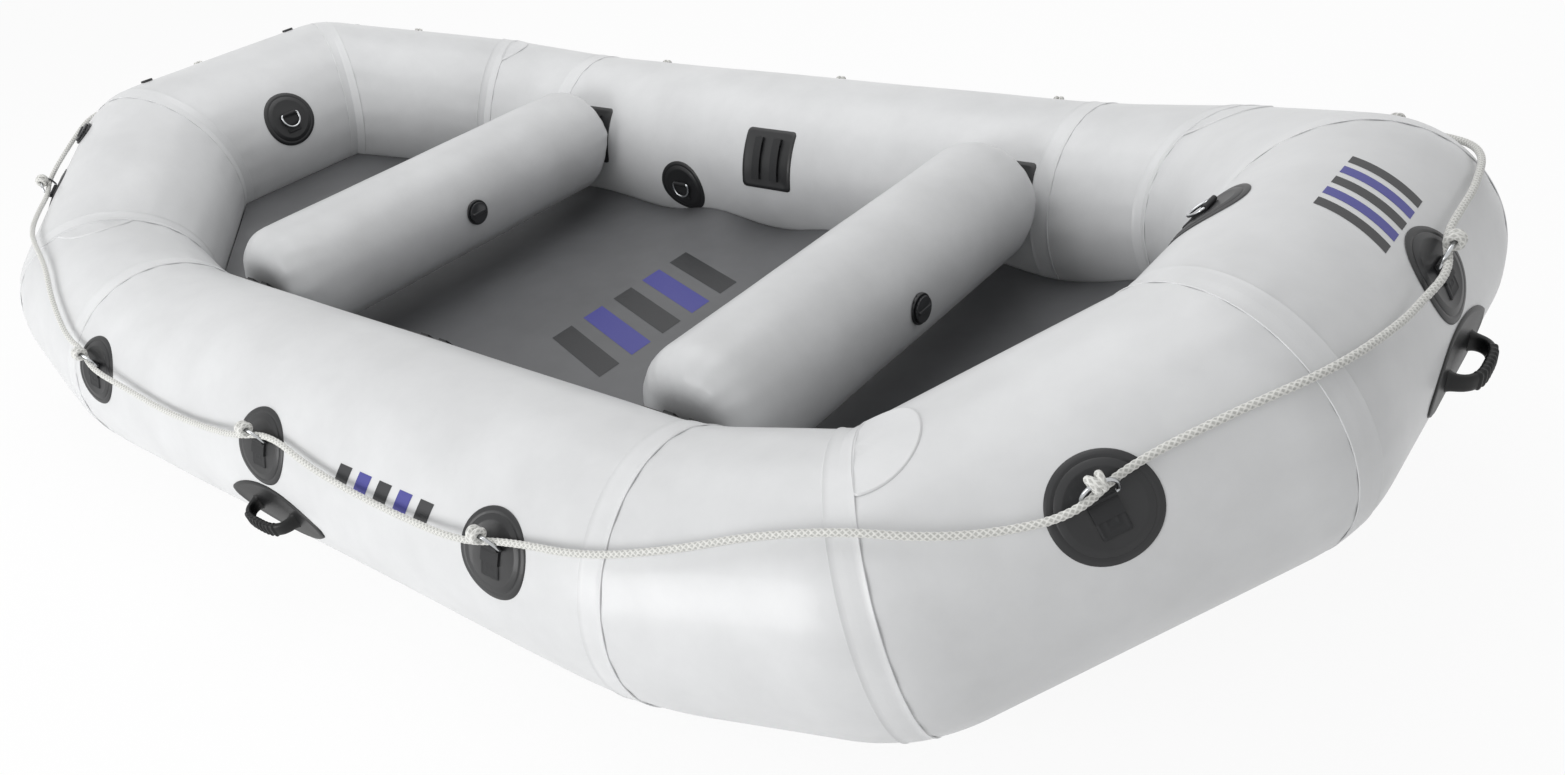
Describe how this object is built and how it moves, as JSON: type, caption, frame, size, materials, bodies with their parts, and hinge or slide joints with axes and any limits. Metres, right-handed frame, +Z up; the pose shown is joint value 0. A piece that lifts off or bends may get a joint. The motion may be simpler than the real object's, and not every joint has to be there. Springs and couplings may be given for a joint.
{
  "type": "inflatable river raft",
  "caption": "Inflatable river raft with raised bow and stern, two thwarts, drop-stitch floor, grab line, rings, handles and valves.",
  "frame": {"origin": "on the ground under the middle of the hull", "axes": "+X to the bow, +Y to port, +Z up"},
  "size_m": [3.7924, 2.1762, 0.7108],
  "materials": {
    "tube_fabric": "satin coated fabric, welded panels",
    "thwart_fabric": "satin coated fabric, welded panels",
    "seam_fabric": "satin coated fabric tape, glued",
    "baffle_fabric": "coated fabric, matt",
    "floor_fabric": "coated fabric, matt",
    "patch_fabric": "coated fabric, matt",
    "handle_rubber": "moulded rubber, satin",
    "webbing": "woven polyester webbing",
    "braided_line": "braided polyester line",
    "yarn": "polyester drop-stitch yarn",
    "stainless_steel": "polished stainless wire, welded",
    "spring_steel": "drawn stainless wire",
    "valve_plastic": "moulded nylon",
    "valve_cap_plastic": "moulded nylon"
  },
  "bodies": {
    "hull": {"bow_end_tube": "tube_fabric", "bow_handle": "handle_rubber", "bow_quarter_port": "tube_fabric", "bow_quarter_starboard": "tube_fabric", "bow_shoulder_port": "tube_fabric", "bow_shoulder_starboard": "tube_fabric", "bow_thwart_barrel": "thwart_fabric", "bow_thwart_ends": "thwart_fabric", "bow_thwart_spring": "spring_steel", "chamber_baffles": "baffle_fabric", "corner_patches": "seam_fabric", "drop_stitch_yarns": "yarn", "floor_bottom_skin": "floor_fabric", "floor_side_wall": "floor_fabric", "floor_spring": "spring_steel", "floor_top_skin": "floor_fabric", "grab_line": "braided_line", "handle_patches": "handle_rubber", "line_hitches": "braided_line", "line_rings": "stainless_steel", "mount_patches": "patch_fabric", "mount_straps": "webbing", "port_handle": "handle_rubber", "port_quarter_spring": "spring_steel", "relief_valves": "valve_plastic", "ring_base_patches": "patch_fabric", "ring_cover_patches": "patch_fabric", "ring_straps": "webbing", "seam_tapes": "seam_fabric", "side_tube_port": "tube_fabric", "side_tube_starboard": "tube_fabric", "starboard_handle": "handle_rubber", "starboard_quarter_spring": "spring_steel", "stern_end_tube": "tube_fabric", "stern_handle": "handle_rubber", "stern_quarter_port": "tube_fabric", "stern_quarter_starboard": "tube_fabric", "stern_shoulder_port": "tube_fabric", "stern_shoulder_starboard": "tube_fabric", "stern_thwart_barrel": "thwart_fabric", "stern_thwart_ends": "thwart_fabric", "stern_thwart_spring": "spring_steel", "valve_bodies": "valve_plastic", "valve_nuts": "valve_plastic"},
    "port_quarter_cap": {"port_quarter_cap": "valve_cap_plastic"},
    "port_quarter_poppet": {"port_quarter_poppet": "valve_plastic"},
    "starboard_quarter_cap": {"starboard_quarter_cap": "valve_cap_plastic"},
    "starboard_quarter_poppet": {"starboard_quarter_poppet": "valve_plastic"},
    "bow_thwart_cap": {"bow_thwart_cap": "valve_cap_plastic"},
    "bow_thwart_poppet": {"bow_thwart_poppet": "valve_plastic"},
    "stern_thwart_cap": {"stern_thwart_cap": "valve_cap_plastic"},
    "stern_thwart_poppet": {"stern_thwart_poppet": "valve_plastic"},
    "floor_cap": {"floor_cap": "valve_cap_plastic"},
    "floor_poppet": {"floor_poppet": "valve_plastic"},
    "bow_ring": {"bow_ring": "stainless_steel"},
    "stern_ring": {"stern_ring": "stainless_steel"},
    "port_aft_ring": {"port_aft_ring": "stainless_steel"},
    "starboard_aft_ring": {"starboard_aft_ring": "stainless_steel"}
  },
  "joints": [
    {"name": "port_quarter_cap_turn", "type": "hinge", "parent": "hull", "child": "port_quarter_cap", "pos_m": [-1.63595, 0.49068, 0.62989], "axis": [-0.3065, 0.5688, 0.7632], "range_deg": [0, 90]},
    {"name": "port_quarter_poppet_press", "type": "slide", "parent": "hull", "child": "port_quarter_poppet", "axis": [0.3065, -0.5688, -0.7632], "range_m": [0, 0.0045], "stiffness_N_per_m": 400, "deforming": ["port_quarter_spring"]},
    {"name": "starboard_quarter_cap_turn", "type": "hinge", "parent": "hull", "child": "starboard_quarter_cap", "pos_m": [-1.63595, -0.49068, 0.62989], "axis": [-0.3065, -0.5688, 0.7632], "range_deg": [0, 90]},
    {"name": "starboard_quarter_poppet_press", "type": "slide", "parent": "hull", "child": "starboard_quarter_poppet", "axis": [0.3065, 0.5688, -0.7632], "range_m": [0, 0.0045], "stiffness_N_per_m": 400, "deforming": ["starboard_quarter_spring"]},
    {"name": "bow_thwart_cap_turn", "type": "hinge", "parent": "hull", "child": "bow_thwart_cap", "pos_m": [0.862, 0, 0.336], "axis": [1, 0, 0], "range_deg": [0, 90]},
    {"name": "bow_thwart_poppet_press", "type": "slide", "parent": "hull", "child": "bow_thwart_poppet", "axis": [-1, 0, 0], "range_m": [0, 0.0045], "stiffness_N_per_m": 400, "deforming": ["bow_thwart_spring"]},
    {"name": "stern_thwart_cap_turn", "type": "hinge", "parent": "hull", "child": "stern_thwart_cap", "pos_m": [-0.558, 0, 0.336], "axis": [1, 0, 0], "range_deg": [0, 90]},
    {"name": "stern_thwart_poppet_press", "type": "slide", "parent": "hull", "child": "stern_thwart_poppet", "axis": [-1, 0, 0], "range_m": [0, 0.0045], "stiffness_N_per_m": 400, "deforming": ["stern_thwart_spring"]},
    {"name": "floor_cap_turn", "type": "hinge", "parent": "hull", "child": "floor_cap", "pos_m": [-0.92549, -0.255, 0.13209], "axis": [0.1586, 0, 0.9874], "range_deg": [0, 90]},
    {"name": "floor_poppet_press", "type": "slide", "parent": "hull", "child": "floor_poppet", "axis": [-0.1586, 0, -0.9874], "range_m": [0, 0.0045], "stiffness_N_per_m": 400, "deforming": ["floor_spring"]},
    {"name": "bow_ring_swing", "type": "hinge", "parent": "hull", "child": "bow_ring", "pos_m": [1.44823, 0, 0.66059], "axis": [0, 1, 0], "range_deg": [0, 150]},
    {"name": "stern_ring_swing", "type": "hinge", "parent": "hull", "child": "stern_ring", "pos_m": [-1.36679, 0, 0.53983], "axis": [0, -1, 0], "range_deg": [0, 150]},
    {"name": "port_aft_ring_swing", "type": "hinge", "parent": "hull", "child": "port_aft_ring", "pos_m": [-0.314, 0.55124, 0.22696], "axis": [-1, 0, 0], "range_deg": [0, 150]},
    {"name": "starboard_aft_ring_swing", "type": "hinge", "parent": "hull", "child": "starboard_aft_ring", "pos_m": [-0.314, -0.55124, 0.22696], "axis": [1, 0, 0], "range_deg": [0, 150]}
  ]
}
